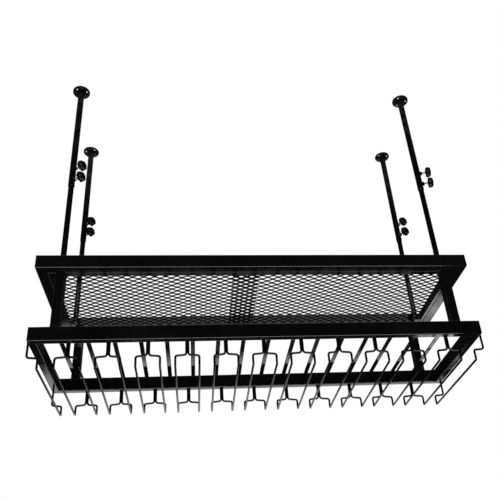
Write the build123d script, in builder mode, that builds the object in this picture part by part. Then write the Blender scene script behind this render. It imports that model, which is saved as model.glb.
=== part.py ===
from build123d import *
import os
from math import cos, radians, sin, sqrt

# Hanging wine glass rack: a mesh shelf in a steel tube frame, a second frame below it on four posts,
# bent wires under that frame that hold glasses by the foot, and four telescopic poles from the ceiling.
# Millimetres, +Z up, X along the length, -Y to the front. The origin is the middle of the four
# ceiling flanges, on the ceiling plane.

# Two rectangular tube frames
frame_length = 1200.0
shelf_depth = 380.0
shelf_tube_width = 30.0
shelf_tube_height = 40.0
rack_setback = 15.0
rack_tube_width = 20.0
rack_tube_height = 40.0
tube_wall = 1.2
tube_corner = 1.5

# Posts between the frames
post_side = 25.0
post_length = 170.0
post_inset = 65.0

# Flat bars across the lower frame
bar_count = 16
bar_inset_left = 66.5
bar_inset_right = 88.0
bar_width = 12.0
bar_thickness = 3.0

# Ledges inside the shelf frame and the expanded metal that lies on them
end_ledge_width = 8.0
side_ledge_width = 14.0
ledge_thickness = 2.5
mesh_thickness = 2.4
mesh_edge_gap = 1.0
mesh_border = 4.0
mesh_joint_x = -33.0
mesh_overlap = 75.0
mesh_step_width = 6.0
diamond_long = 90.0
diamond_short = 61.5
strand_width = 5.0

# Glass hangers, bent from round wire
wire_diameter = 5.0
wire_sides = 6
hanger_count = 13
stem_gap = 0.2
stem_length = 43.0
lip_height = 30.0
shoulder_reach = 28.4
bend_cut = 4.0

# Poles
hanging_height = 680.0
front_pole_inset = 60.0
rear_pole_inset = 53.0
pole_side_inset = 50.0
inner_pole_diameter = 16.0
inner_pole_length = 550.0
pole_wall = 1.2
slide_clearance = 0.3
outer_pole_length = 396.0

# Ears of the ledges, one below each pole's foot
ear_width = 26.0
ear_reach = 14.0

# Ceiling flanges
flange_diameter = 54.0
flange_thickness = 4.0
collar_depth = 11.0
collar_top_diameter = 27.0
collar_wall = 2.0
fit_clearance = 0.05
flange_screw_circle = 36.0
flange_screw_hole = 4.5
flange_screw_count = 3

# Clamp screws, two in each outer pole, each through a hexagonal nut welded to its side
lower_screw_height = 24.0
screw_spacing = 43.0
nut_width = 11.0
nut_length = 5.0
stud_diameter = 6.0
thread_clearance = 0.08
stud_exposed = 11.0
knob_diameter = 33.0
knob_thickness = 17.0
knob_socket_depth = 10.0
knob_lobes = 7
knob_notch_side = 5.6
knob_notch_depth = 2.7

# Each pole: its side of the middle in X and in Y, the direction its clamp screws point and the
# direction of its flange's first screw hole, both in degrees from +X
pole_corners = {
    "front_left": (-1, -1, -30.0, -10.0),
    "front_right": (1, -1, -17.0, -10.0),
    "rear_left": (-1, 1, -40.0, -45.0),
    "rear_right": (1, 1, -60.0, -25.0),
}

# Spacings that follow from the sizes
rack_depth = shelf_depth - 2 * rack_setback
post_spacing = frame_length - 2 * post_inset
bar_spacing = (frame_length - bar_inset_left - bar_inset_right) / (bar_count - 1)
bar_row_middle = (bar_inset_left - bar_inset_right) / 2
pole_spacing_y = shelf_depth - 2 * pole_side_inset

# Spacing along X of the front row of poles and of the rear row, by its side of the middle in Y
pole_spacings_x = {
    -1: frame_length - 2 * front_pole_inset,
    1: frame_length - 2 * rear_pole_inset,
}

# Heights that follow from the sizes
shelf_top = -hanging_height
shelf_bottom = shelf_top - shelf_tube_height
ledge_top = shelf_bottom + ledge_thickness
rack_top = shelf_bottom - post_length
rack_bottom = rack_top - rack_tube_height
shoulder_height = rack_bottom - stem_length
run_height = shoulder_height - lip_height

# Radii that follow from the sizes
inner_pole_radius = inner_pole_diameter / 2
outer_bore_radius = inner_pole_radius + slide_clearance
outer_pole_radius = outer_bore_radius + pole_wall
nut_face = outer_pole_radius + nut_length
outer_pole_end = -flange_thickness - outer_pole_length
screw_heights = {
    "lower": outer_pole_end + lower_screw_height,
    "upper": outer_pole_end + lower_screw_height + screw_spacing,
}

os.makedirs("parts", exist_ok=True)


def save(part, name):
    """Label a finished piece and write it to its own file."""
    part.label = name
    export_step(part, f"parts/{name}.step")


# Frames


def frame_rail(corner, along, inward, length, width, height):
    """One side of a frame: a rectangular tube with both ends mitred at 45 degrees.

    It starts at the frame's lower outer corner, runs along and has its width towards the inside.
    The small rounding of the tube's corners is one flat facet each.
    """
    with BuildPart() as rail:
        with BuildSketch(Plane(origin=corner, x_dir=inward, z_dir=along)) as section:
            with Locations((width / 2, height / 2)):
                Rectangle(width, height)
                chamfer(section.vertices(), tube_corner)
                Rectangle(width - 2 * tube_wall, height - 2 * tube_wall, mode=Mode.SUBTRACT)
        extrude(amount=length)
        split(bisect_by=Plane(origin=corner, z_dir=along - inward), keep=Keep.TOP)
        end_mitre = Plane(origin=corner + along * length, z_dir=along + inward)
        split(bisect_by=end_mitre, keep=Keep.BOTTOM)
    return rail.part


def save_frame(prefix, depth, width, height, bottom):
    """The four rails of one frame, each from its own corner, counter-clockwise seen from above."""
    half_length = frame_length / 2
    half_depth = depth / 2
    sides = {
        "front": ((-half_length, -half_depth), (1, 0), (0, 1), frame_length),
        "right": ((half_length, -half_depth), (0, 1), (-1, 0), depth),
        "rear": ((half_length, half_depth), (-1, 0), (0, -1), frame_length),
        "left": ((-half_length, half_depth), (0, -1), (1, 0), depth),
    }
    for side, (corner, along, inward, length) in sides.items():
        start = Vector(*corner, bottom)
        rail = frame_rail(start, Vector(*along), Vector(*inward), length, width, height)
        save(rail, f"{prefix}_{side}_rail")


save_frame("shelf", shelf_depth, shelf_tube_width, shelf_tube_height, shelf_bottom)
save_frame("rack", rack_depth, rack_tube_width, rack_tube_height, rack_bottom)

# Posts, flush with the lower frame's front and rear faces
post_y = (rack_depth - post_side) / 2
post_bore = post_side - 2 * tube_wall
for corner_name, (side_x, side_y, screw_turn, flange_turn) in pole_corners.items():
    with BuildPart() as post:
        with BuildSketch(Plane.XY.offset(rack_top)) as section:
            with Locations((side_x * post_spacing / 2, side_y * post_y)):
                Rectangle(post_side, post_side)
                chamfer(section.vertices(), tube_corner)
                Rectangle(post_bore, post_bore, mode=Mode.SUBTRACT)
        extrude(amount=post_length)
    save(post.part, f"post_{corner_name}")

# Bars across the lower frame, level with its top
bar_length = rack_depth - 2 * rack_tube_width
with BuildPart() as cross_bars:
    with BuildSketch(Plane.XY.offset(rack_top)):
        with Locations((bar_row_middle, 0)):
            with GridLocations(bar_spacing, bar_length, bar_count, 1):
                Rectangle(bar_width, bar_length)
    extrude(amount=-bar_thickness)
save(cross_bars.part, "cross_bars")

# Ledges: strips inside the shelf frame's lower edge, with an ear below each pole at front and rear
tray_length = frame_length - 2 * shelf_tube_width
tray_depth = shelf_depth - 2 * shelf_tube_width
ledge_inner_y = tray_depth / 2 - side_ledge_width
for side, side_y in (("front", -1), ("rear", 1)):
    with BuildPart() as side_ledge:
        with BuildSketch(Plane.XY.offset(shelf_bottom)):
            with Locations((0, side_y * (tray_depth - side_ledge_width) / 2)):
                Rectangle(tray_length, side_ledge_width)
            with Locations((0, side_y * (ledge_inner_y - ear_reach / 2))):
                with GridLocations(pole_spacings_x[side_y], 0, 2, 1):
                    Rectangle(ear_width, ear_reach)
        extrude(amount=ledge_thickness)
    save(side_ledge.part, f"ledge_{side}")
with BuildPart() as end_ledges:
    with BuildSketch(Plane.XY.offset(shelf_bottom)):
        with GridLocations(tray_length - end_ledge_width, 0, 2, 1):
            Rectangle(end_ledge_width, 2 * ledge_inner_y)
    extrude(amount=ledge_thickness)
save(end_ledges.part, "ledge_ends")


# Expanded metal


def mesh_panel(left, right, raised_end):
    """One sheet of expanded metal: staggered rows of diamonds, with a window for each pole.

    Left of raised_end it is stepped up by its own thickness, over the end of the other sheet.
    """
    width = right - left
    depth = tray_depth - 2 * mesh_edge_gap
    middle = (left + right) / 2
    columns = int((width - 2 * mesh_border) // diamond_long)
    rows = int((depth - 2 * mesh_border) // diamond_short)
    half_long = (diamond_long - 2 * strand_width) / 2
    half_short = half_long * diamond_short / diamond_long
    outline = ((half_long, 0), (0, half_short), (-half_long, 0), (0, -half_short))
    pole_window = inner_pole_diameter + 2 * mesh_edge_gap
    with BuildPart() as panel:
        with BuildSketch(Plane.XY.offset(ledge_top)):
            with Locations((middle, 0)):
                Rectangle(width, depth)
                with GridLocations(diamond_long, diamond_short, columns, rows):
                    Polygon(*outline, mode=Mode.SUBTRACT)
                with GridLocations(diamond_long, diamond_short, columns - 1, rows - 1):
                    Polygon(*outline, mode=Mode.SUBTRACT)
            for side_y, spacing_x in pole_spacings_x.items():
                with Locations((0, side_y * pole_spacing_y / 2)):
                    with GridLocations(spacing_x, 0, 2, 1):
                        Rectangle(pole_window, pole_window, mode=Mode.SUBTRACT)
        if raised_end is None:
            extrude(amount=mesh_thickness)
        else:
            extrude(amount=2 * mesh_thickness)
            with BuildSketch(Plane.XY.offset(ledge_top)):
                with Locations(((left + raised_end) / 2, 0)):
                    Rectangle(raised_end - left, depth)
            extrude(amount=mesh_thickness, mode=Mode.SUBTRACT)
            step_end = raised_end + mesh_step_width
            with BuildSketch(Plane.XY.offset(ledge_top + mesh_thickness)):
                with Locations(((step_end + right) / 2, 0)):
                    Rectangle(right - step_end, depth)
            extrude(amount=mesh_thickness, mode=Mode.SUBTRACT)
    return panel.part


mesh_end = tray_length / 2 - mesh_edge_gap
left_panel_end = mesh_joint_x + mesh_overlap / 2
right_panel_start = mesh_joint_x - mesh_overlap / 2
save(mesh_panel(-mesh_end, left_panel_end, None), "mesh_panel_left")
save(mesh_panel(right_panel_start, mesh_end, left_panel_end + mesh_edge_gap), "mesh_panel_right")


# Glass hangers


def hanger_wire(stem_x, reach):
    """One bent wire from the front rail's underside to the rear rail's.

    It goes down its stem, out along the shoulder by reach, down the lip, back along the run and up
    the same way. The shoulder's bends are short facets, the run's are mitred, and the section is a
    polygon with flat sides in X.
    """
    rail_y = (rack_depth - rack_tube_width) / 2
    half = (
        (stem_x, rack_bottom),
        (stem_x, shoulder_height),
        (stem_x + reach, shoulder_height),
        (stem_x + reach, run_height),
    )
    corners = [Vector(x, -rail_y, z) for x, z in half]
    corners += [Vector(x, rail_y, z) for x, z in reversed(half)]
    route = [corners[0]]
    for before, corner, after in zip(corners, corners[1:], corners[2:]):
        if corner.Z == run_height:
            route.append(corner)
            continue
        route.append(corner + (before - corner).normalized() * bend_cut)
        route.append(corner + (after - corner).normalized() * bend_cut)
    route.append(corners[-1])
    with BuildPart() as wire:
        with BuildLine() as path:
            Polyline(*route)
        with BuildSketch(Plane(origin=corners[0], x_dir=(1, 0, 0), z_dir=(0, 0, -1))):
            half_side_angle = 180 / wire_sides
            RegularPolygon(wire_diameter / 2, wire_sides, major_radius=False, rotation=half_side_angle)
        sweep(path=path.line, transition=Transition.RIGHT)
    return wire.part


wire_radius = wire_diameter / 2
first_stem = -frame_length / 2 + wire_radius
hanger_pitch = (frame_length - wire_diameter) / (hanger_count - 1)
stem_offset = (wire_diameter + stem_gap) / 2
for index in range(hanger_count):
    centre_x = first_stem + index * hanger_pitch
    if index == 0:
        wires = [hanger_wire(centre_x, shoulder_reach)]
    elif index == hanger_count - 1:
        wires = [hanger_wire(centre_x, -shoulder_reach)]
    else:
        wires = [
            hanger_wire(centre_x - stem_offset, -shoulder_reach),
            hanger_wire(centre_x + stem_offset, shoulder_reach),
        ]
    with BuildPart() as hanger:
        add(wires)
    save(hanger.part, f"hanger_{index + 1:02d}")

# Poles, flanges and clamp screws
notch_circle = knob_diameter / 2 - knob_notch_depth + knob_notch_side / sqrt(2)
collar_bore_radius = outer_pole_radius + fit_clearance
flange_section = (
    (0, 0),
    (flange_diameter / 2, 0),
    (flange_diameter / 2, -flange_thickness),
    (collar_top_diameter / 2, -flange_thickness),
    (collar_bore_radius + collar_wall, -flange_thickness - collar_depth),
    (collar_bore_radius, -flange_thickness - collar_depth),
    (collar_bore_radius, -flange_thickness),
    (0, -flange_thickness),
)
for corner_name, (side_x, side_y, screw_turn, flange_turn) in pole_corners.items():
    pole_x = side_x * pole_spacings_x[side_y] / 2
    pole_y = side_y * pole_spacing_y / 2
    outward = Vector(cos(radians(screw_turn)), sin(radians(screw_turn)), 0)

    with BuildPart() as flange:
        with BuildSketch(Plane(origin=(pole_x, pole_y, 0), x_dir=(1, 0, 0), z_dir=(0, -1, 0))):
            Polygon(*flange_section, align=None)
        revolve(axis=Axis((pole_x, pole_y, 0), (0, 0, 1)))
        with BuildSketch(Plane((pole_x, pole_y, 0))):
            with PolarLocations(flange_screw_circle / 2, flange_screw_count, flange_turn):
                Circle(flange_screw_hole / 2)
        extrude(amount=-flange_thickness, mode=Mode.SUBTRACT)
    save(flange.part, f"flange_{corner_name}")

    with BuildPart() as outer_pole:
        with BuildSketch(Plane.XY.offset(outer_pole_end)):
            with Locations((pole_x, pole_y)):
                Circle(outer_pole_radius)
        extrude(amount=outer_pole_length)
        for height in screw_heights.values():
            with BuildSketch(Plane(origin=(pole_x, pole_y, height), z_dir=outward)):
                RegularPolygon(nut_width / 2, 6, major_radius=False)
            extrude(amount=nut_face)
        with BuildSketch(Plane.XY.offset(outer_pole_end)):
            with Locations((pole_x, pole_y)):
                Circle(outer_bore_radius)
        extrude(amount=outer_pole_length, mode=Mode.SUBTRACT)
        for height in screw_heights.values():
            with BuildSketch(Plane(origin=(pole_x, pole_y, height), z_dir=outward)):
                Circle(stud_diameter / 2 + thread_clearance)
            extrude(amount=nut_face, mode=Mode.SUBTRACT)
    save(outer_pole.part, f"outer_pole_{corner_name}")

    with BuildPart() as inner_pole:
        with BuildSketch(Plane.XY.offset(ledge_top)):
            with Locations((pole_x, pole_y)):
                Circle(inner_pole_radius)
                Circle(inner_pole_radius - pole_wall, mode=Mode.SUBTRACT)
        extrude(amount=inner_pole_length)
    save(inner_pole.part, f"inner_pole_{corner_name}")

    for level, height in screw_heights.items():
        tip = Vector(pole_x, pole_y, height) + outward * (inner_pole_radius + slide_clearance)
        knob_back = Vector(pole_x, pole_y, height) + outward * (nut_face + stud_exposed)
        socket_end = knob_back + outward * knob_socket_depth
        with BuildPart() as stud:
            with BuildSketch(Plane(origin=tip, z_dir=outward)):
                Circle(stud_diameter / 2)
            extrude(amount=(socket_end - tip).length)
        save(stud.part, f"stud_{level}_{corner_name}")

        with BuildPart() as knob:
            with BuildSketch(Plane(origin=knob_back, z_dir=outward)):
                Circle(knob_diameter / 2)
                with PolarLocations(notch_circle, knob_lobes):
                    Rectangle(knob_notch_side, knob_notch_side, rotation=45, mode=Mode.SUBTRACT)
            extrude(amount=knob_thickness)
            with BuildSketch(Plane(origin=knob_back, z_dir=outward)):
                Circle(stud_diameter / 2)
            extrude(amount=knob_socket_depth, mode=Mode.SUBTRACT)
        save(knob.part, f"knob_{level}_{corner_name}")
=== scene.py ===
from math import cos, pi, radians, sin, tan

import bpy
import numpy as np
from mathutils import Matrix, Vector


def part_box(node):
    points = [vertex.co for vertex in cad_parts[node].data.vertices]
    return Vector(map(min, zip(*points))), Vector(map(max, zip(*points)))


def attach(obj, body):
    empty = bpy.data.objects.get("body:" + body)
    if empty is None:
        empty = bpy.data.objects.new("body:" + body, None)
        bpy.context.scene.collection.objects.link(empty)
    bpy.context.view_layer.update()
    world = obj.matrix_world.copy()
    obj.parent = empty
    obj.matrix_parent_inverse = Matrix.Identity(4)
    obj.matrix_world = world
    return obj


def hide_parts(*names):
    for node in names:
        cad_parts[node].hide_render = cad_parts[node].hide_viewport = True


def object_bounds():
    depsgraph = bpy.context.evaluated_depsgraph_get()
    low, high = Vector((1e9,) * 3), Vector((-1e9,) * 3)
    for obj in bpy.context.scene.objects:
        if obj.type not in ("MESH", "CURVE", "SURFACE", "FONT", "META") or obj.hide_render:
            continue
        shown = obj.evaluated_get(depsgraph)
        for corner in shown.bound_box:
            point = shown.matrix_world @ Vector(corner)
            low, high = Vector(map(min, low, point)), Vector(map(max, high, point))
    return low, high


# The looks of a hanging wine glass rack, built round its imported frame.
#
# Metres, +Z up, X along the rack, -Y to the front, the ceiling at Z 0. Each new shape is worked out
# as whole arrays of points. Most are rings of one section carried along a path or turned round an
# axis, with a skin of quads between each ring and the next.

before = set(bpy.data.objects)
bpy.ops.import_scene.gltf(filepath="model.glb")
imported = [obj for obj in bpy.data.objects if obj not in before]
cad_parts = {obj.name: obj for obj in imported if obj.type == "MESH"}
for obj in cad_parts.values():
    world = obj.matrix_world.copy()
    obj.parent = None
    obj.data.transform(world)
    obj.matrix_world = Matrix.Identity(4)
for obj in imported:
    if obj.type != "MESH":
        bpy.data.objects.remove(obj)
cad_low, cad_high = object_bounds()

MM = 0.001
UP, DOWN, SIDEWAYS = (0, 0, 1), (0, 0, -1), (1, 0, 0)

TUBE_WALL = 1.2 * MM
TUBE_ROUNDING = {"shelf": 2.4 * MM, "rack": 2.0 * MM, "post": 2.0 * MM}
BAR_COUNT, BAR_WIDTH = 16, 12 * MM
HANGER_COUNT, WIRE_RADIUS, STEM_LENGTH = 13, 2.9 * MM, 43 * MM
SHEET_OVER_SHEET = 2.4 * MM

# Each pole: the way its clamp screws point and the way its flange's first screw hole lies, in
# degrees from +X.
POLES = {
    "front_left": (-30.0, -10.0),
    "front_right": (-17.0, -10.0),
    "rear_left": (-40.0, -45.0),
    "rear_right": (-60.0, -25.0),
}

# The collar of a flange: radius and height of its profile, mm.
COLLAR = [
    (9.8, -14.9),
    (10.2, -15),
    (11.1, -15),
    (11.45, -14.85),
    (11.6, -14.4),
    (11.75, -13.6),
    (13.0, -6.2),
    (13.35, -5.2),
    (14.0, -4.45),
    (15.0, -4.08),
    (16.0, -3.98),
    (16.0, -3.5),
    (9.55, -3.5),
    (9.55, -14.5),
]

# The rings of a star knob: radius on a lobe, mm; share of the dip between lobes; distance from the
# back, mm.
KNOB_RINGS = [
    (3.2, 0, 0.0),
    (6.4, 0, 0.0),
    (7.0, 0, 0.25),
    (7.3, 0, 0.9),
    (7.8, 0, 1.35),
    (9.0, 0.1, 1.5),
    (13.4, 0.8, 1.55),
    (15.0, 1, 1.8),
    (16.0, 1, 2.5),
    (16.4, 1, 3.6),
    (16.5, 1, 4.8),
    (16.4, 1, 8.5),
    (16.0, 1, 11.0),
    (15.2, 1, 13.2),
    (14.0, 1, 14.8),
    (12.6, 0.85, 15.9),
    (11.0, 0.35, 16.6),
    (9.9, 0, 16.8),
    (9.2, 0, 16.5),
    (8.6, 0, 15.9),
    (8.0, 0, 15.8),
    (7.3, 0, 16.1),
    (6.2, 0, 16.5),
    (4.0, 0, 16.85),
    (2.0, 0, 16.97),
    (0.4, 0, 17.0),
]

# What rubbed edges, partly real wear and partly a painted edge highlight, and dust mix into a black
# finish: a colour and a roughness.
RUBBED_AND_HIGHLIT = ((0.05, 0.05, 0.053, 1), 0.12)
DUST = ((0.22, 0.21, 0.2, 1), 0.75)


# ---------------------------------------------------------------- skins and pieces


def ring_skin(rings, closed=False):
    """Closed skin over rings of points, an array of rings x points x 3.

    Point j of ring i makes a quad with point j + 1 and with the same two points of ring i + 1. The
    rings run counter-clockwise about the way they advance, so the quads face outwards. When closed,
    the last ring joins the first; otherwise each end ring is filled with one flat face.
    """
    count, around = rings.shape[:2]
    i = np.arange(count if closed else count - 1)[:, None] * around
    j = np.arange(around)[None, :]
    after = (i + around) % (count * around)
    turn = (j + 1) % around
    faces = [np.stack([i + j, i + turn, after + turn, after + j], -1).reshape(-1, 4)]
    if not closed:
        faces += [j[:, ::-1], j + (count - 1) * around]
    return rings.reshape(-1, 3), faces


def edge_share(mesh):
    """Attribute "edge": how sharply a mesh turns outwards at each point, from 0 to 1.

    It is the sum of the angles that the point's edges turn through outwards, as a share of 60
    degrees and at most 1. An edge between faces with normals m and n turns outwards where m . (the
    other face's centre - its own centre) is under zero, by the angle arccos(m . n).
    """
    most = radians(60)
    count = len(mesh.polygons)
    normals, centres = np.empty(count * 3), np.empty(count * 3)
    mesh.polygons.foreach_get("normal", normals)
    mesh.polygons.foreach_get("center", centres)
    normals, centres = normals.reshape(-1, 3), centres.reshape(-1, 3)
    sizes, along = np.empty(count, int), np.empty(len(mesh.loops), int)
    mesh.polygons.foreach_get("loop_total", sizes)
    mesh.loops.foreach_get("edge_index", along)
    ends = np.empty(len(mesh.edges) * 2, int)
    mesh.edges.foreach_get("vertices", ends)
    owner = np.repeat(np.arange(count), sizes)[np.argsort(along, kind="stable")].reshape(-1, 2)
    a, b = owner.T
    turn = np.arccos(np.clip((normals[a] * normals[b]).sum(1), -1, 1))
    outwards = (normals[a] * (centres[b] - centres[a])).sum(1) < 0
    share = np.zeros(len(mesh.vertices))
    np.add.at(share, ends.reshape(-1, 2), (turn * outwards / most)[:, None])
    edge = mesh.attributes.new("edge", "FLOAT", "POINT")
    edge.data.foreach_set("value", np.clip(share, 0, 1))


def add_object(name, data):
    """A new object in the scene, standing at the origin."""
    thing = bpy.data.objects.new(name, data)
    bpy.context.scene.collection.objects.link(thing)
    return thing


def make_piece(name, shells, body, coat, nodes, crease=32, worn_and_highlit=False):
    """One object from closed shells, each a pair of points and lists of faces, riding on a body.

    The faces are smooth across edges that turn less than the crease, in degrees.
    """
    starts = np.cumsum([0] + [len(points) for points, faces in shells])
    points = np.concatenate([points for points, faces in shells])
    corners = [face + start for (_, faces), start in zip(shells, starts) for face in faces]
    sizes = np.concatenate([np.full(len(face), face.shape[1]) for face in corners])
    flat = np.concatenate([face.ravel() for face in corners])
    mesh = bpy.data.meshes.new(name)
    mesh.vertices.add(len(points))
    mesh.vertices.foreach_set("co", points.astype(np.float32).ravel())
    mesh.loops.add(len(flat))
    mesh.loops.foreach_set("vertex_index", flat.astype(np.int32))
    mesh.polygons.add(len(sizes))
    mesh.polygons.foreach_set("loop_start", (np.cumsum(sizes) - sizes).astype(np.int32))
    mesh.polygons.foreach_set("loop_total", sizes.astype(np.int32))
    mesh.polygons.foreach_set("use_smooth", np.ones(len(sizes), bool))
    mesh.update(calc_edges=True)
    mesh.set_sharp_from_angle(angle=radians(crease))
    # The edge attribute drives the rubbed edges and their painted highlight
    if worn_and_highlit:
        edge_share(mesh)
    mesh.materials.append(coat)
    piece = add_object(name, mesh)
    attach(piece, body)
    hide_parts(*nodes)


def middle_of(node):
    """The middle of a node's box: half the sum of its lowest and its highest corner."""
    return tuple((low + high) / 2 for low, high in zip(*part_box(node)))


def unit(vectors):
    """Each vector divided by its own length."""
    return vectors / np.linalg.norm(vectors, axis=-1, keepdims=True)


def turned(radius, height, origin, axis=UP, across=SIDEWAYS, steps=48, closed=True):
    """A shape turned round an axis: ring i lies at height[i] along it and has radius[i].

    Point = origin + axis * height + (across * cos + (axis x across) * sin) * radius. Radius and
    height may differ round the ring, as arrays of rings x steps. The profile runs up its outside
    and, where it is closed, down its inside.
    """
    angle = np.arange(steps) / steps * 2 * pi
    radius = np.asarray(radius, float)
    height = np.asarray(height, float)
    radius = radius if radius.ndim == 2 else radius[:, None] + 0 * angle
    height = height if height.ndim == 2 else height[:, None] + 0 * angle
    axis, across = np.array(axis, float), np.array(across, float)
    aside = np.cross(axis, across)
    way = np.cos(angle)[:, None] * across + np.sin(angle)[:, None] * aside
    rings = np.array(origin, float) + height[..., None] * axis + radius[..., None] * way
    return ring_skin(rings, closed)


# ---------------------------------------------------------------- tubes and bars


def rounded_section(width, height, radius, steps=5, support=0.5 * MM):
    """Rectangle with rounded corners, counter-clockwise, as points across and up from its middle.

    Each corner is an arc about a centre that lies one radius in from both sides. At each end of the
    arc is one more point on the flat, a support away, so that the flats stay flat to the eye.
    """
    quarter = np.arange(4)[:, None] * pi / 2
    angle = quarter + np.linspace(0, pi / 2, steps)[None, :]
    arc = np.stack([np.cos(angle), np.sin(angle)], -1) * radius
    first = arc[:, :1] - support * np.stack([-np.sin(quarter), np.cos(quarter)], -1)
    last_angle = quarter + pi / 2
    last = arc[:, -1:] + support * np.stack([-np.sin(last_angle), np.cos(last_angle)], -1)
    signs = np.array([[1, 1], [-1, 1], [-1, -1], [1, -1]])[:, None, :]
    middle = signs * np.array([width / 2 - radius, height / 2 - radius])
    return (np.concatenate([first, arc, last], 1) + middle).reshape(-1, 2)


def square_tube(start, along, across, length, width, height, radius, mitre, up=UP):
    """Hollow rectangular tube whose section starts at its lower outer corner, start.

    A point across u and up v of the section lies at start + across * u + up * v, and along by
    mitre * u at the near end or length - mitre * u at the far end: mitre 1 cuts both ends at 45
    degrees. The outline is drawn in by a hair at each end, which leaves the seam of the joint. The
    bore's corners have the radius of the outer ones less 0.8 of the wall.
    """
    start, along, across, up = (np.array(v, float) for v in (start, along, across, up))
    middle = np.array([width / 2, height / 2])
    hair, support = 0.35 * MM, 0.5 * MM
    bore_radius = radius - TUBE_WALL * 0.8
    outer = rounded_section(width, height, radius) + middle
    drawn_in = rounded_section(width - 2 * hair, height - 2 * hair, radius - hair) + middle
    bore = rounded_section(width - 2 * TUBE_WALL, height - 2 * TUBE_WALL, bore_radius) + middle

    def ring(section, gap, far):
        """The section, set back from the near or the far end by the gap and the mitre."""
        u, v = section[:, :1], section[:, 1:]
        s = length - gap - mitre * u if far else gap + mitre * u
        return start + along * s + across * u + up * v

    rings = [
        ring(drawn_in, 0, False),
        ring(outer, hair, False),
        ring(outer, hair + support, False),
        ring(outer, hair + support, True),
        ring(outer, hair, True),
        ring(drawn_in, 0, True),
        ring(bore, 0, True),
        ring(bore, 0, False),
    ]
    return ring_skin(np.array(rings), closed=True)


def weld_bead(start, end, radius):
    """Line of weld: a rod between two points, its radius swelling once for each ripple.

    Radius = radius * (0.88 + 0.12 * cos(2 pi s / ripple)) * (1 - (2 s / length - 1) ** 8) ** 0.5,
    where s runs along the length, so the ends close like a bead's.
    """
    ripple, sides, tip = 1.9 * MM, 8, 0.004
    start, end = np.array(start, float), np.array(end, float)
    length = np.linalg.norm(end - start)
    s = np.linspace(tip, 1 - tip, max(9, int(length / ripple * 4))) * length
    swell = 0.88 + 0.12 * np.cos(2 * pi * s / ripple)
    size = radius * swell * np.sqrt(1 - np.abs(2 * s / length - 1) ** 8)
    along = (end - start) / length
    aslant = [0.31, 0.23, 0.92]  # no weld runs this way
    across = unit(np.cross(along, aslant))
    return turned(size, s, start, along, across, sides, closed=False)


def weld_ring(centre, inner, foot, depth, steps=30, ripples=9, axis=DOWN):
    """Weld run round a wire or a tube where it meets a flat: a quarter-round fillet with ripples.

    The share t of its depth goes from 0 at the flat to 1, and the radius falls from inner + foot to
    inner as 1 - (1 - (1 - t) ** 2) ** 0.5 does; the foot swells by 0.16 * cos(ripples * angle). The
    last two rings close it a little inside the wire or tube.
    """
    inside = inner * 0.96
    t = np.linspace(0, 1, 6)[:, None]
    angle = np.arange(steps)[None, :] / steps * 2 * pi
    foot = foot * (1 + 0.16 * np.cos(ripples * angle))
    radius = inner + foot * (1 - np.sqrt(1 - (1 - t) ** 2))
    radius = np.concatenate([radius, np.full((2, steps), inside)])
    height = np.concatenate([t * depth, [[depth], [0]]]) + 0 * angle
    return turned(radius, height, centre, axis, SIDEWAYS, steps)


def frame_rail(node, rounding, coat):
    """Mitred rail of one frame, laid along the longer side of its node's box."""
    low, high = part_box(node)
    size = high - low
    if size.x > size.y:
        way = 1 if low.y < 0 else -1
        corner = (low.x if way > 0 else high.x, low.y if way > 0 else high.y, low.z)
        along, across, length, width = (way, 0, 0), (0, way, 0), size.x, size.y
    else:
        way = 1 if low.x > 0 else -1
        corner = (high.x if way > 0 else low.x, low.y if way > 0 else high.y, low.z)
        along, across, length, width = (0, way, 0), (-way, 0, 0), size.y, size.x
    shell = square_tube(corner, along, across, length, width, size.z, rounding, mitre=1)
    make_piece(node + "_tube", [shell], "rack", coat, [node], worn_and_highlit=True)


def post_piece(node, coat):
    """Square post between the frames, with a weld along each side at its top and its foot."""
    low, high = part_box(node)
    side, inset, bead = high.x - low.x, 1.5 * MM, 1.3 * MM
    length, rounding = high.z - low.z, TUBE_ROUNDING["post"]
    shells = [square_tube(low, UP, SIDEWAYS, length, side, side, rounding, mitre=0, up=(0, 1, 0))]
    left, right, front, rear = low.x + inset, high.x - inset, low.y + inset, high.y - inset
    sides = [
        ((left, low.y), (right, low.y)),
        ((left, high.y), (right, high.y)),
        ((low.x, front), (low.x, rear)),
        ((high.x, front), (high.x, rear)),
    ]
    for z in (low.z, high.z):
        shells += [weld_bead((*start, z), (*end, z), bead) for start, end in sides]
    make_piece(node + "_tube", shells, "rack", coat, [node], worn_and_highlit=True)


def flat_bars(coat):
    """The flat bars across the lower frame, rounded along their edges and welded below both ends.

    Their middles are evenly spaced, from half a width inside one end of their box to the other.
    """
    low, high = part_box("cross_bars")
    rounding, support, inset, bead = 0.7 * MM, 0.3 * MM, 1 * MM, 1.2 * MM
    half = BAR_WIDTH / 2
    section = rounded_section(BAR_WIDTH, high.z - low.z, rounding, 4, support)
    ends = np.array([low.y, low.y + inset, high.y - inset, high.y])
    shells = []
    for x in np.linspace(low.x + half, high.x - half, BAR_COUNT):
        centre = np.array([x, 0, (low.z + high.z) / 2])
        ring = np.stack([-section[:, 0], 0 * section[:, 0], section[:, 1]], -1) + centre
        shells.append(ring_skin(ring[None] + np.stack([0 * ends, ends, 0 * ends], -1)[:, None]))
        for y in (low.y, high.y):
            start, end = (x - (half - inset), y, low.z), (x + (half - inset), y, low.z)
            shells.append(weld_bead(start, end, bead))
    make_piece("flat_bars", shells, "rack", coat, ["cross_bars"], worn_and_highlit=True)


# ---------------------------------------------------------------- expanded metal


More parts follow.
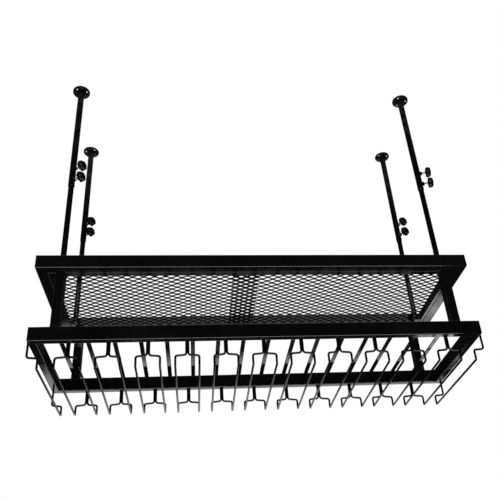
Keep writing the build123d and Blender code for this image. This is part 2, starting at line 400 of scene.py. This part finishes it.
def expanded_metal(node, pitch, shift, stretch, raised_end, raise_by, coat):
    """Sheet of expanded metal: rows of zigzag strands, each joined to the next where they meet.

    A row is y = row + side * swing * T(x) - bow * sin(pi * (x - middle) / span), where side
    alternates from row to row. T is a wave that is flat at +1 and -1 along the joints and straight
    between them. The sine is the uneven stretch of the sheet: stretch is its bow, middle and span.
    The shift is that of the wave along X and of the rows along Y.

    Each strand has a flat section that is tilted, as slitting and stretching leave it. A strand
    stops at the sheet's edges and at a window round a pole. Left of raised_end the sheet lies
    raise_by higher, over the other one, and comes down over the length of the step.
    """
    low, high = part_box(node)
    row_step, joint, step_length = 10 * MM, 4.6 * MM, 6 * MM
    wide, thick, tilt = 3.9 * MM, 1.0 * MM, radians(-20)
    edge_gap, half_window, level = 0.5 * MM, 10 * MM, low.z + 1.2 * MM
    rows_each_way, waves_each_way = 20, 24
    swing = (row_step - wide) / 2

    corners = np.array([[-wide, -thick], [wide, -thick], [wide, thick], [-wide, thick]]) / 2
    section = corners @ np.array([[cos(tilt), sin(tilt)], [-sin(tilt), cos(tilt)]])
    offset = np.concatenate([np.zeros((4, 1)), section], 1)

    wave_shift, row_shift = shift
    bow, middle, span = stretch
    row_steps = np.arange(-rows_each_way, rows_each_way + 1) * row_step
    rows = (low.y + high.y) / 2 + row_shift + row_steps
    waves = np.arange(-waves_each_way, waves_each_way + 1)
    turns = np.array([-joint / 2, joint / 2, (pitch - joint) / 2, (pitch + joint) / 2])
    bends = (waves[:, None] * pitch + turns[None, :]).ravel() + wave_shift
    levels = np.tile([1.0, 1.0, -1.0, -1.0], len(waves))
    marks = np.unique(np.concatenate([bends, [raised_end, raised_end + step_length]]))
    fine = np.arange(low.x + edge_gap, high.x - edge_gap, 0.1 * MM)
    zigzag = np.interp(fine, bends, levels)
    stretched = bow * np.sin(pi * (fine - middle) / span)
    poles = [middle_of("inner_pole_" + corner) for corner in POLES]

    shells = []
    for index, row in enumerate(rows):
        y = row + (swing if index % 2 else -swing) * zigzag - stretched
        clear = (y > low.y + wide / 2) & (y < high.y - wide / 2)
        for pole_x, pole_y, _ in poles:
            clear &= np.maximum(np.abs(fine - pole_x), np.abs(y - pole_y)) > half_window
        edges = np.flatnonzero(np.diff(clear.astype(int), prepend=0, append=0))
        for first, last in edges.reshape(-1, 2):
            start, end = fine[first], fine[last - 1]
            x = np.concatenate([[start], marks[(marks > start) & (marks < end)], [end]])
            height = level + raise_by * (1 - np.clip((x - raised_end) / step_length, 0, 1))
            path = np.stack([x, np.interp(x, fine, y), height], -1)
            shells.append(ring_skin(path[:, None] + offset[None]))
    make_piece(node + "_strands", shells, "rack", coat, [node], 25)


# ---------------------------------------------------------------- glass hangers


def bent_rod(corners, radii, radius):
    """Round wire along straight runs with an arc of its own radius at each corner between them.

    At a corner C between directions a and b that differ by the angle f, the arc starts at
    C - a * r * tan(f / 2) and goes on as a * r * sin(s) + n * r * (1 - cos(s)) for s from 0 to f,
    with n the part of b across a.
    """
    steps, sides = 7, 14
    corners = np.array(corners, float)
    way = unit(np.diff(corners, axis=0))
    a, b = way[:-1, None], way[1:, None]
    middle, r = corners[1:-1, None], np.array(radii, float)[:, None, None]
    bend = np.arccos((a * b).sum(-1, keepdims=True))
    n = unit(b - a * (a * b).sum(-1, keepdims=True))
    s = bend * np.linspace(0, 1, steps)[None, :, None]
    arcs = middle - a * r * np.tan(bend / 2) + a * r * np.sin(s) + n * r * (1 - np.cos(s))
    heading = a * np.cos(s) + n * np.sin(s)
    path = np.concatenate([corners[:1], arcs.reshape(-1, 3), corners[-1:]])
    heading = np.concatenate([way[:1], heading.reshape(-1, 3), way[-1:]])
    level = np.array([0.8, 0.6, 0.0])  # no run goes this way
    first = unit(level - heading * (heading @ level)[:, None])
    second = np.cross(heading, first)
    angle = (np.arange(sides) / sides * 2 * pi)[None, :, None]
    ring = np.cos(angle) * first[:, None] + np.sin(angle) * second[:, None]
    return ring_skin(path[:, None] + radius * ring)


def hanger_piece(index, coat):
    """One hanger: bent wires side by side that share a stem line, welded below both long rails.

    Each wire goes down its stem, out along a slanted shoulder to its lip, down to the run below the
    frame, and along it to the rear, where the same bends bring it up again. The first and the last
    hanger have one wire, whose stem is at the end of the rack.
    """
    node = f"hanger_{index:02d}"
    low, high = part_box(node)
    y = middle_of("rack_front_rail")[1]
    top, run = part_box("rack_front_rail")[0].z, low.z + WIRE_RADIUS + 0.1 * MM
    into_rail, half_gap = 0.4 * MM, 2.6 * MM
    shoulder_start, shoulder_end = 0.8 * MM, -1.6 * MM
    weld_foot, weld_depth = 1.8 * MM, 2.4 * MM
    bend_radii = [7 * MM, 5.5 * MM, 3.2 * MM]
    left, right, middle = low.x + WIRE_RADIUS, high.x - WIRE_RADIUS, (low.x + high.x) / 2
    if index == 1:
        wires = [(left, right)]
    elif index == HANGER_COUNT:
        wires = [(right, left)]
    else:
        wires = [(middle - half_gap, left), (middle + half_gap, right)]
    shells = []
    for stem, lip in wires:
        half = [
            (stem, y, top + into_rail),
            (stem, y, top - STEM_LENGTH + shoulder_start),
            (lip, y, top - STEM_LENGTH + shoulder_end),
            (lip, y, run),
        ]
        corners = half + [(x, -y, z) for x, y, z in reversed(half)]
        shells.append(bent_rod(corners, bend_radii + bend_radii[::-1], WIRE_RADIUS))
        for side in (y, -y):
            shells.append(weld_ring((stem, side, top), WIRE_RADIUS, weld_foot, weld_depth))
    for points, faces in shells:  # the end hangers' welds stop at the end of the rack
        points[:, 0] = np.clip(points[:, 0], cad_low.x, cad_high.x)
    make_piece(node + "_wire", shells, "rack", coat, [node], 50)


# ---------------------------------------------------------------- poles and flanges


def inner_pole(corner, coat):
    """Lower tube of a pole, with rounded rims and a weld round its foot."""
    node = "inner_pole_" + corner
    low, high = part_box(node)
    x, y, _ = middle_of(node)
    r, length, rim, weld = (high.x - low.x) / 2, high.z - low.z, 0.4 * MM, 2.2 * MM
    profile = [
        (r - rim, 0),
        (r, rim),
        (r, 3 * rim),
        (r, length - 3 * rim),
        (r, length - rim),
        (r - rim, length),
        (r - TUBE_WALL, length),
        (r - TUBE_WALL, 0),
    ]
    foot = (x, y, low.z)
    tube = turned(*zip(*profile), foot, steps=56)
    foot_weld = weld_ring(foot, r, weld, weld, steps=60, ripples=17, axis=UP)
    make_piece(node + "_tube", [tube, foot_weld], "rack", coat, [node])


def clamp_nut(centre, outward):
    """Hexagonal weld nut on the side of a pole, its back cut to the pole's round.

    The radius of the hexagon is flat / cos(angle to the middle of its nearest side). Its corners
    are chamfered at 30 degrees outside the radius round_off. The back, the weld round it and the
    end of the bore are saddles that lie on cylinders about the pole.
    """
    steps = 48
    flat, round_off, bore, bore_edge, reach = 5.5 * MM, 5.6 * MM, 3.1 * MM, 0.4 * MM, 14.5 * MM
    weld_foot, weld_face, weld_top, bore_end = 9.2 * MM, 9.9 * MM, 10.9 * MM, 9.0 * MM
    angle = np.arange(steps) / steps * 2 * pi
    hexagon = flat / np.cos((angle + pi / 6) % (pi / 3) - pi / 6)
    weld = hexagon + 1.3 * MM
    drop = np.maximum(hexagon - round_off, 0) * tan(radians(30))

    def saddle(radius, cylinder):
        """Distance = (cylinder's radius ** 2 - (radius * sin(angle)) ** 2) ** 0.5."""
        return np.sqrt(cylinder**2 - (radius * np.sin(angle)) ** 2)

    hole = np.full(steps, bore)
    top = np.full(steps, reach)
    profile = [
        (weld, saddle(weld, weld_foot)),
        (weld - 0.4 * MM, saddle(weld, weld_face)),
        (hexagon, saddle(hexagon, weld_top)),
        (hexagon, top - drop - 0.8 * MM),
        (hexagon, top - drop),
        (np.minimum(hexagon, round_off), top),
        (hole + bore_edge, top),
        (hole, top - bore_edge),
        (hole, saddle(hole, bore_end)),
    ]
    return turned(*zip(*profile), centre, outward, UP, steps)


def outer_pole(corner, screws, outward, coat):
    """Upper tube of a pole, its lower rim rolled to a quarter circle, and its two weld nuts."""
    node = "outer_pole_" + corner
    low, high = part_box(node)
    x, y, _ = middle_of("inner_pole_" + corner)
    r, bore, rim = 9.5 * MM, 8.3 * MM, 0.6 * MM
    rim_arc = np.linspace(-pi / 2, 0, 4)
    profile = [(r - rim + rim * cos(a), low.z + rim + rim * sin(a)) for a in rim_arc]
    profile += [
        (r, low.z + 0.7 * MM),
        (r, low.z + 2 * MM),
        (r, high.z),
        (bore, high.z),
        (bore, low.z + 0.4 * MM),
        (bore + 0.2 * MM, low.z + 0.05 * MM),
    ]
    shells = [turned(*zip(*profile), (x, y, 0), steps=64)]
    shells += [clamp_nut((x, y, z), outward) for z in screws]
    make_piece(node + "_tube", shells, "ceiling_poles", coat, [node], worn_and_highlit=True)


def flange_piece(corner, turn, coat):
    """Ceiling flange: a round plate pressed from sheet, with three screw holes and a collar.

    The plate is three slices of a third of the disc. A slice's outline and its hole are rings of as
    many points, each hole point lying towards its outline point. The layers run from the underside
    up the outside of the rim, over its top to the hollow inside, across to the hole, and down it
    back to the underside. Only the points on the rim's arc reach the ceiling. The collar is one
    turned profile.
    """
    node = "flange_" + corner
    x, y, _ = middle_of(node)
    rim, depth, circle, hole, sheet = 27 * MM, 4 * MM, 18 * MM, 2.25 * MM, 1.3 * MM
    inner = sheet - depth
    out = np.linspace(0, 1, 13)[:-1, None]  # shares of the radius along a slice's straight sides
    shells = []
    for third in range(3):
        middle = radians(turn + 120 * third)
        arc = np.linspace(middle - pi / 3, middle + pi / 3, 41)
        arc = np.stack([np.cos(arc), np.sin(arc)], -1)
        edge = np.concatenate([out * arc[:1], arc, out[:0:-1] * arc[-1:]]) * rim
        centre = np.array([cos(middle), sin(middle)]) * circle
        towards = unit(edge - centre)
        on_arc = (np.linalg.norm(edge, axis=1) > rim * 0.999)[:, None]
        layers = [
            (edge * 0.972, -depth),
            (edge * 0.992, 0.25 * MM - depth),
            (edge, 0.8 * MM - depth),
            (edge, -0.4 * MM),
            (edge * 0.985, 0),
            (edge * 0.955, 0),
            (edge * 0.95, inner),
            (centre + towards * (hole + 0.2 * MM), inner),
            (centre + towards * hole, inner - 0.2 * MM),
            (centre + towards * hole, 0.4 * MM - depth),
            (centre + towards * (hole + 0.4 * MM), -depth),
        ]
        rings = [
            np.concatenate([flat + [x, y], np.where(on_arc, z, min(z, inner))], 1)
            for flat, z in layers
        ]
        shells.append(ring_skin(np.array(rings), closed=True))
    shells.append(turned(*(np.array(COLLAR) * MM).T, (x, y, 0), steps=64))
    make_piece(node + "_plate", shells, "ceiling_poles", coat, [node], 28, worn_and_highlit=True)


# ---------------------------------------------------------------- clamp screws


def threaded_stud(name, node, body, centre, outward, coat):
    """Screw thread: a rod whose radius is outer - depth * (1 - the wave).

    The wave is |2 * ((distance / pitch - angle / 2 pi) mod 1) - 1|. Over its lead the radius grows
    from 0.6 of its size to all of it.
    """
    pitch, outer, depth, sides = 1 * MM, 3 * MM, 0.55 * MM, 16
    start, end, lead = 8.3 * MM, 35.5 * MM, 1.2 * MM
    distance = np.arange(start, end, pitch / 4)[:, None]
    turn = np.arange(sides)[None, :] / sides
    wave = np.abs(((distance / pitch - turn) % 1) * 2 - 1)
    radius = outer - depth * (1 - wave)
    ease = np.minimum(1, (distance - start) / lead * 0.4 + 0.6)
    distance = distance + 0 * turn
    shell = turned(radius * ease, distance, centre, outward, UP, sides, closed=False)
    make_piece(name, [shell], body, coat, [node], 60)


def star_knob(name, node, body, centre, outward, coat):
    """Star knob: radius = size - share * dip * (1 - |cos(lobes / 2 * angle)| ** 0.8) on each ring.

    The rings go from a short round hub at the back, over the thick lobed body with rounded edges,
    to a shallow dished face and a button at its middle.
    """
    steps, lobes, dip, back = 112, 7, 3.6 * MM, 25.5 * MM
    angle = np.arange(steps) / steps * 2 * pi
    dips = dip * (1 - np.abs(np.cos(lobes / 2 * angle)) ** 0.8)
    size, share, rise = (np.array(column)[:, None] for column in zip(*KNOB_RINGS))
    radius, distance = size * MM - share * dips, rise * MM + back + 0 * angle
    shell = turned(radius, distance, centre, outward, UP, steps, closed=False)
    make_piece(name, [shell], body, coat, [node], 60, worn_and_highlit=True)


# ---------------------------------------------------------------- finishes


def shader_group(name, inputs, output):
    """A new node group with inputs, as name: value, and one output, all of them numbers."""
    group = bpy.data.node_groups.new(name, "ShaderNodeTree")
    number = "NodeSocketFloat"
    for label, value in inputs.items():
        socket = group.interface.new_socket(label, in_out="INPUT", socket_type=number)
        socket.default_value = value
    group.interface.new_socket(output, in_out="OUTPUT", socket_type=number)
    ins = group.nodes.new("NodeGroupInput")
    outs = group.nodes.new("NodeGroupOutput")
    return group, ins.outputs, outs.inputs[output]


def add_node(tree, kind, values=None, **settings):
    """One new shader node, its properties set and its inputs set or linked by name or number."""
    node = tree.nodes.new("ShaderNode" + kind)
    for key, value in settings.items():
        setattr(node, key, value)
    for key, value in (values or {}).items():
        if isinstance(value, bpy.types.NodeSocket):
            tree.links.new(value, node.inputs[key])
        else:
            node.inputs[key].default_value = value
    return node


def noise(tree, scale, detail, roughness=0.5):
    """Noise over the piece's own coordinates, around 0.5."""
    place = add_node(tree, "TexCoord").outputs["Object"]
    values = {"Vector": place, "Scale": scale, "Detail": detail, "Roughness": roughness}
    return add_node(tree, "TexNoise", values).outputs["Fac"]


def spread(tree, value, low, high, curve="LINEAR"):
    """0 where the value is low or less, 1 where it is high or more, and evenly between."""
    values = {"Value": value, "From Min": low, "From Max": high}
    return add_node(tree, "MapRange", values, interpolation_type=curve).outputs["Result"]


def product(tree, first, second):
    """The first value times the second."""
    return add_node(tree, "Math", {0: first, 1: second}, operation="MULTIPLY").outputs[0]


def mix(tree, factor, first, second):
    """first * (1 - factor) + second * factor, for two values."""
    return add_node(tree, "Mix", {"Factor": factor, 2: first, 3: second}).outputs[0]


def mix_colour(tree, factor, first, second):
    """first * (1 - factor) + second * factor, for two colours."""
    values = {"Factor": factor, 6: first, 7: second}
    return add_node(tree, "Mix", values, data_type="RGBA").outputs[2]


def coat_grain_group():
    """Orange peel of a sprayed coat: soft lumps of the peel's size and a finer grain on them."""
    inputs = {"Peel": 700.0, "Grain": 4200.0, "Share": 0.25}
    group, ins, height = shader_group("coat_grain", inputs, "Height")
    peel = noise(group, ins["Peel"], 2.0, 0.45)
    grain = noise(group, ins["Grain"], 1.0)
    group.links.new(mix(group, ins["Share"], peel, grain), height)
    return group


def cloudy_group():
    """Cloudy unevenness of a finish: two noises, one broad and one narrow, spread to 0..1."""
    inputs = {"Broad": 9.0, "Narrow": 70.0}
    group, ins, amount = shader_group("finish_clouds", inputs, "Amount")
    broad = noise(group, ins["Broad"], 4.0, 0.6)
    narrow = noise(group, ins["Narrow"], 5.0, 0.65)
    group.links.new(spread(group, mix(group, 0.45, broad, narrow), 0.34, 0.66), amount)
    return group


def dust_group():
    """Dust on what faces up: the upward part of the surface's normal, broken up by fine noise."""
    inputs = {"Cover": 0.5, "Specks": 900.0}
    group, ins, mask = shader_group("settled_dust", inputs, "Mask")
    facing = add_node(group, "NewGeometry").outputs["Normal"]
    up = add_node(group, "SeparateXYZ", {"Vector": facing}).outputs["Z"]
    flat = spread(group, up, 0.55, 0.95)
    patches = spread(group, noise(group, ins["Specks"], 6.0, 0.7), 0.38, 0.7)
    group.links.new(product(group, product(group, flat, patches), ins["Cover"]), mask)
    return group


def rub_and_highlight_group():
    """Rubbed edges, partly a painted highlight along them: the share of a turned edge, broken up by
    noise, with gaps left untouched.
    """
    inputs = {"Amount": 0.6, "Patches": 45.0}
    group, ins, mask = shader_group("rubbed_and_highlit_edges", inputs, "Mask")
    edge = add_node(group, "Attribute", attribute_name="edge").outputs["Fac"]
    sharp = spread(group, edge, 0.35, 0.8, "SMOOTHSTEP")
    patches = spread(group, noise(group, ins["Patches"], 5.0, 0.6), 0.4, 0.62)
    group.links.new(product(group, product(group, sharp, patches), ins["Amount"]), mask)
    return group


# rubbed_and_highlit lightens edges as wear and as a painted highlight
grain, clouds, settled, rubbed_and_highlit = coat_grain_group(), cloudy_group(), dust_group(), rub_and_highlight_group()


def add_group(tree, group, **values):
    """The output of a node group, placed with its own values."""
    return add_node(tree, "Group", values, node_tree=group).outputs[0]


def new_finish(name):
    """A new material, with its nodes and its shader."""
    material = bpy.data.materials.new(name)
    material.use_nodes = True
    return material, material.node_tree, material.node_tree.nodes["Principled BSDF"]


def black_finish(name, dark, light, rough, peel, depth, dust, rub_and_highlight=0.0, sheen=0.5):
    """Black sprayed or moulded finish with peel, rubbed edges with a painted highlight, and a
    little dust on top.

    Its colour goes from dark to light with the clouds, and its roughness from the first to the
    second of rough with their square. Rubbed edges, whose lighter colour is partly a painted
    highlight, and dust then each mix in their own. Peel is how fine the peel is and depth how much
    it shows.
    """
    material, tree, shader = new_finish(name)
    cloud = add_group(tree, clouds, Broad=7.0, Narrow=60.0)
    # Edge mask: rubbed edges that also carry a painted highlight
    edges = add_group(tree, rubbed_and_highlit, Amount=rub_and_highlight, Patches=38.0)
    dusty = add_group(tree, settled, Cover=dust, Specks=800.0)
    height = add_group(tree, grain, Peel=peel, Grain=peel * 6, Share=0.2)
    tone = mix_colour(tree, cloud, (*dark, 1), (*light, 1))
    gloss = mix(tree, product(tree, cloud, cloud), *rough)
    # Edges get a lighter colour, partly wear and partly a painted highlight; dust mixes in its own
    for mask, (colour, roughness) in ((edges, RUBBED_AND_HIGHLIT), (dusty, DUST)):
        tone = mix_colour(tree, mask, tone, colour)
        gloss = mix(tree, mask, gloss, roughness)
    bump = add_node(tree, "Bump", {"Height": height, "Strength": depth, "Distance": 0.15 * MM})
    tree.links.new(tone, shader.inputs["Base Color"])
    tree.links.new(gloss, shader.inputs["Roughness"])
    tree.links.new(bump.outputs["Normal"], shader.inputs["Normal"])
    shader.inputs["Specular IOR Level"].default_value = sheen
    return material


def zinc_finish(name):
    """Bright zinc plate: grey metal with a cloudy tone and gloss and a fine grain."""
    material, tree, shader = new_finish(name)
    cloud = add_group(tree, clouds, Broad=160.0, Narrow=900.0)
    height = add_group(tree, grain, Peel=2500.0)
    tone = mix_colour(tree, cloud, (0.42, 0.43, 0.45, 1), (0.66, 0.66, 0.65, 1))
    gloss = mix(tree, cloud, 0.2, 0.38)
    bump = add_node(tree, "Bump", {"Height": height, "Strength": 0.2, "Distance": 0.05 * MM})
    tree.links.new(tone, shader.inputs["Base Color"])
    tree.links.new(gloss, shader.inputs["Roughness"])
    tree.links.new(bump.outputs["Normal"], shader.inputs["Normal"])
    shader.inputs["Metallic"].default_value = 1.0
    return material


# ---------------------------------------------------------------- the rack

frame_paint = black_finish(
    "frame_black_paint",
    dark=(0.0012, 0.0012, 0.0014),
    light=(0.0034, 0.0034, 0.0037),
    rough=(0.03, 0.2),
    peel=650.0,
    depth=0.05,
    dust=0.1,
    rub_and_highlight=0.3,
)
mesh_paint = black_finish(
    "expanded_metal_paint",
    dark=(0.0012, 0.0012, 0.0014),
    light=(0.0034, 0.0034, 0.0037),
    rough=(0.14, 0.24),
    peel=1100.0,
    depth=0.2,
    dust=0.1,
)
wire_paint = black_finish(
    "hanger_wire_paint",
    dark=(0.0012, 0.0012, 0.0014),
    light=(0.003, 0.003, 0.0033),
    rough=(0.06, 0.16),
    peel=1300.0,
    depth=0.08,
    dust=0.08,
    sheen=0.25,
)
pole_paint = black_finish(
    "pole_black_paint",
    dark=(0.001, 0.001, 0.0012),
    light=(0.003, 0.003, 0.0033),
    rough=(0.05, 0.2),
    peel=900.0,
    depth=0.06,
    dust=0.1,
    rub_and_highlight=0.3,
)
knob_plastic = black_finish(
    "knob_black_plastic",
    dark=(0.0008, 0.0008, 0.001),
    light=(0.0025, 0.0025, 0.0028),
    rough=(0.1, 0.2),
    peel=1500.0,
    depth=0.1,
    dust=0.1,
    rub_and_highlight=0.2,
    sheen=0.25,
)
zinc = zinc_finish("bright_zinc_thread")

for level in ("shelf", "rack"):
    for side in ("front", "right", "rear", "left"):
        frame_rail(f"{level}_{side}_rail", TUBE_ROUNDING[level], frame_paint)
for corner in POLES:
    post_piece("post_" + corner, frame_paint)
flat_bars(frame_paint)
for node in ("ledge_front", "ledge_rear", "ledge_ends"):
    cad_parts[node].data.materials.clear()
    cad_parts[node].data.materials.append(frame_paint)
joint_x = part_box("mesh_panel_left")[1].x + 1 * MM
expanded_metal(
    "mesh_panel_left",
    pitch=30.23 * MM,
    shift=(13.9 * MM, 8.0 * MM),
    stretch=(5 * MM, -0.255, 0.31),
    raised_end=joint_x,
    raise_by=0,
    coat=mesh_paint,
)
expanded_metal(
    "mesh_panel_right",
    pitch=30 * MM,
    shift=(-0.6 * MM, -8.4 * MM),
    stretch=(4.8 * MM, 0.245, 0.37),
    raised_end=joint_x,
    raise_by=SHEET_OVER_SHEET,
    coat=mesh_paint,
)
for index in range(1, HANGER_COUNT + 1):
    hanger_piece(index, wire_paint)
for corner, (screw_turn, flange_turn) in POLES.items():
    x, y, _ = middle_of("inner_pole_" + corner)
    outward = (cos(radians(screw_turn)), sin(radians(screw_turn)), 0.0)
    screws = {level: middle_of(f"stud_{level}_{corner}")[2] for level in ("lower", "upper")}
    inner_pole(corner, pole_paint)
    outer_pole(corner, screws.values(), outward, pole_paint)
    flange_piece(corner, flange_turn, pole_paint)
    for level, z in screws.items():
        screw, place = f"{level}_{corner}", (x, y, z)
        body = "clamp_screw_" + screw
        threaded_stud("thread_" + screw, "stud_" + screw, body, place, outward, zinc)
        star_knob("star_knob_" + screw, "knob_" + screw, body, place, outward, knob_plastic)


# ---------------------------------------------------------------- floor, light and camera


def pale_floor():
    """Plain pale floor well below the rack, clear from underneath."""
    size, z = 60.0, -2.75
    corners = [(-size, -size, z), (size, -size, z), (size, size, z), (-size, size, z)]
    mesh = bpy.data.meshes.new("pale_floor")
    mesh.from_pydata(corners, [], [(0, 1, 2, 3)])
    floor = add_object("pale_floor", mesh)
    material, tree, shader = new_finish("pale_floor")
    shader.inputs["Base Color"].default_value = (0.86, 0.86, 0.85, 1)
    shader.inputs["Roughness"].default_value = 0.9
    clear = add_node(tree, "BsdfTransparent").outputs[0]
    under = add_node(tree, "NewGeometry").outputs["Backfacing"]
    mixed = add_node(tree, "MixShader", {0: under, 1: shader.outputs[0], 2: clear}).outputs[0]
    tree.links.new(mixed, tree.nodes["Material Output"].inputs["Surface"])
    mesh.materials.append(material)
    floor.visible_glossy = False


def studio_surround():
    """White surround to the eye, and soft white light; the gloss mirrors it dark, grey overhead."""
    world = bpy.data.worlds.new("studio")
    bpy.context.scene.world = world
    world.use_nodes = True
    tree = world.node_tree
    way = add_node(tree, "TexCoord").outputs["Generated"]
    height = add_node(tree, "SeparateXYZ", {"Vector": way}).outputs["Z"]
    overhead = spread(tree, height, 0.84, 0.98, "SMOOTHSTEP")
    mirrored = mix_colour(tree, overhead, (0.016, 0.016, 0.017, 1), (0.5, 0.5, 0.5, 1))
    glossy = add_node(tree, "LightPath").outputs["Is Glossy Ray"]
    seen = mix_colour(tree, glossy, (1, 1, 1, 1), mirrored)
    tree.links.new(seen, tree.nodes["Background"].inputs["Color"])


def soft_light(name, place, aim, width, height, power):
    """Large soft lamp at a place, turned to face its aim."""
    lamp = bpy.data.lights.new(name, "AREA")
    lamp.shape, lamp.size, lamp.size_y, lamp.energy = "RECTANGLE", width, height, power
    holder = add_object(name, lamp)
    holder.location = place
    holder.rotation_euler = (Vector(aim) - Vector(place)).to_track_quat("-Z", "Y").to_euler()
    holder.visible_camera = holder.visible_diffuse = False


def photo_camera():
    """Camera below and in front of the rack, a little to its left, looking up at it."""
    place = (-0.18406, -1.66910, -1.68785)
    right = np.array([0.992795735102, -0.098182256847, -0.068679493328])
    down = np.array([-0.009901853632, 0.504003293891, -0.863644969326])
    ahead = np.array([0.119409303063, 0.858103096479, 0.499400134316])
    camera = bpy.data.cameras.new("camera")
    camera.sensor_width, camera.lens = 36.0, 46.249
    camera.shift_x, camera.shift_y = -0.04, 0.1
    camera.clip_start, camera.clip_end = 0.05, 200.0
    holder = add_object("camera", camera)
    turn = Matrix(np.stack([right, -down, -ahead], 1).tolist()).to_4x4()
    holder.matrix_world = Matrix.Translation(place) @ turn
    bpy.context.scene.camera = holder


pale_floor()
studio_surround()
soft_light("low_front_lamp", (0.125, -1.35, -2.35), (0.125, -0.15, -0.85), 2.45, 1.0, 60.0)
soft_light("far_wall_lamp", (0.31, 3.65, -1.7), (0.31, 0.0, -1.7), 3.58, 1.8, 28.0)
soft_light("right_wall_lamp", (2.13, 3.65, -2.76), (2.13, 0.0, -2.76), 0.36, 0.28, 0.75)
soft_light("above_shelf_lamp", (0.0, -0.06, -0.575), (0.0, 0.16, -0.7), 1.25, 0.2, 1.2)
photo_camera()
bpy.context.scene.view_settings.view_transform = "Standard"
